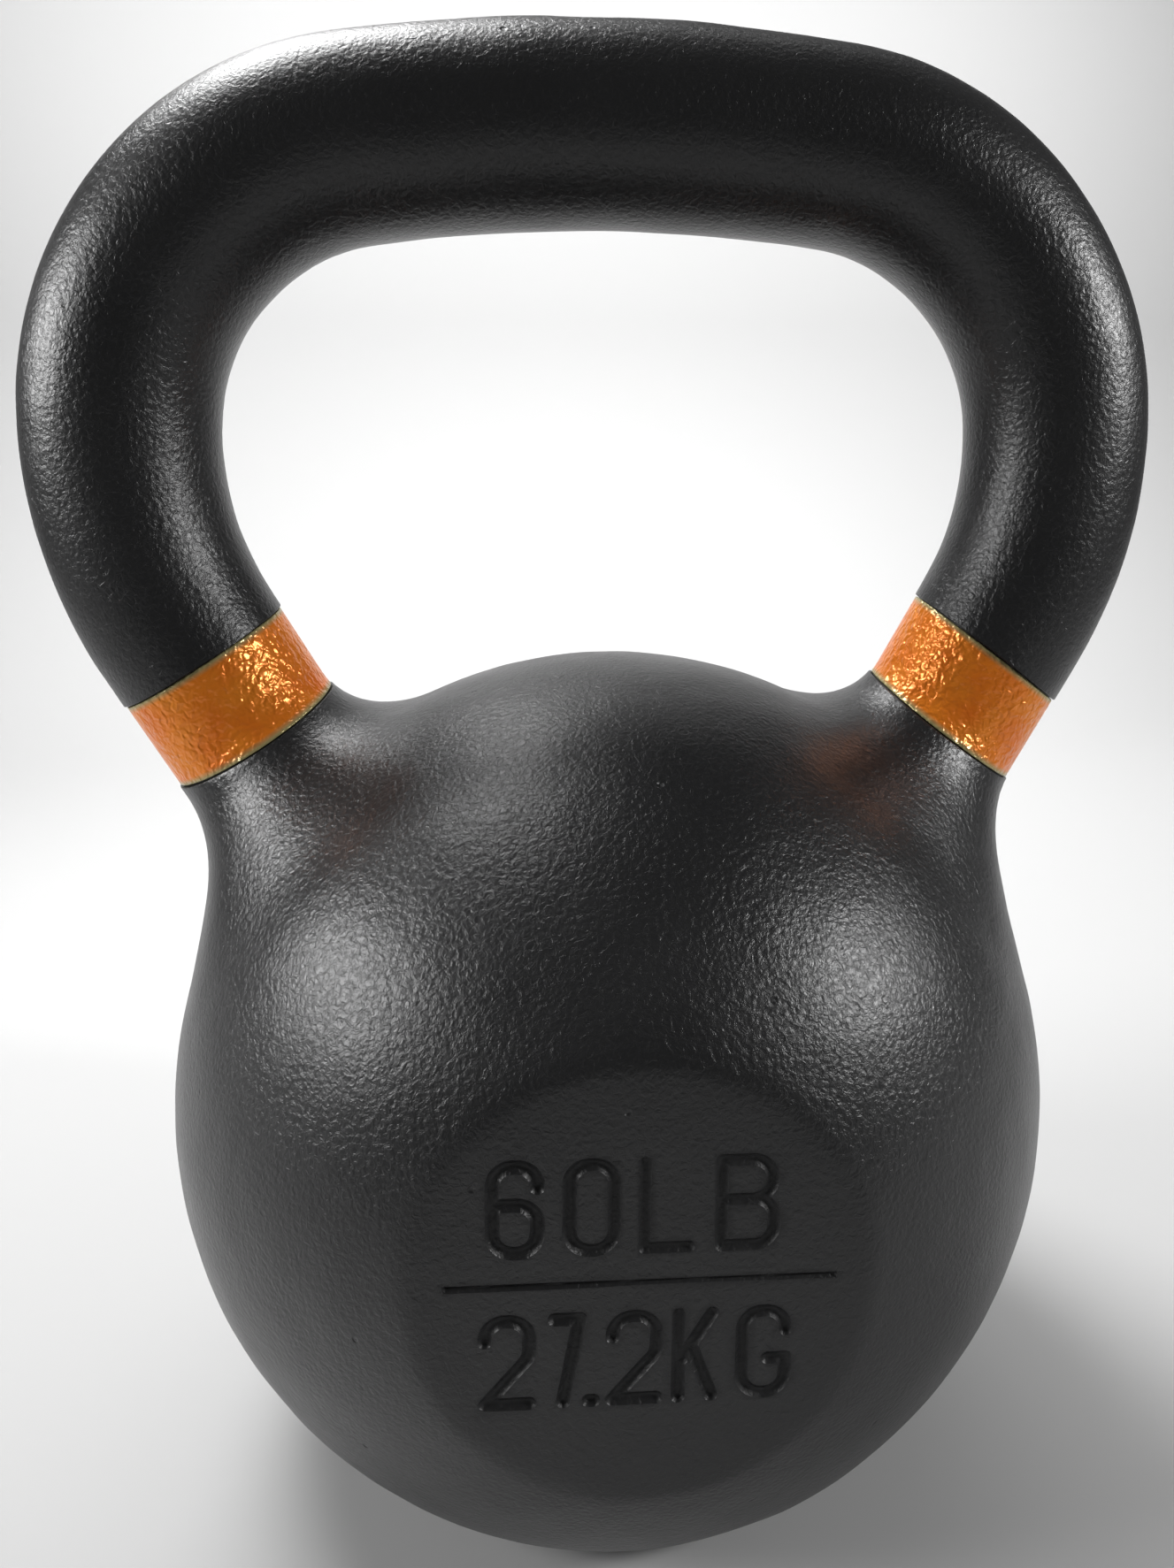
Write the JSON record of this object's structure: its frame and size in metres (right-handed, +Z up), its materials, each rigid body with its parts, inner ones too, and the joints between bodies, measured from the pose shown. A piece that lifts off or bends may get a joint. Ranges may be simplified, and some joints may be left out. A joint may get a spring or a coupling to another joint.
{
  "type": "kettlebell",
  "caption": "Cast-iron kettlebell: round ball with a flat base, flat faces marked with its weight, and a wide looped handle with an orange band on each leg.",
  "frame": {"origin": "centre of the flat base, on the surface that the kettlebell stands on", "axes": "+Z up through the ball and the handle, +Y towards the back, -Y out of the marked face, +X along the bar to the right when facing the mark"},
  "size_m": [0.23, 0.1746, 0.2928],
  "materials": {
    "powder_coated_iron": "black textured powder coat over rough sand-cast iron",
    "orange_band_enamel": "orange enamel over the same casting, glossier than the coat beside it"
  },
  "bodies": {
    "root": {"iron_casting": "powder_coated_iron", "left_colour_band": "orange_band_enamel", "right_colour_band": "orange_band_enamel"}
  },
  "joints": []
}
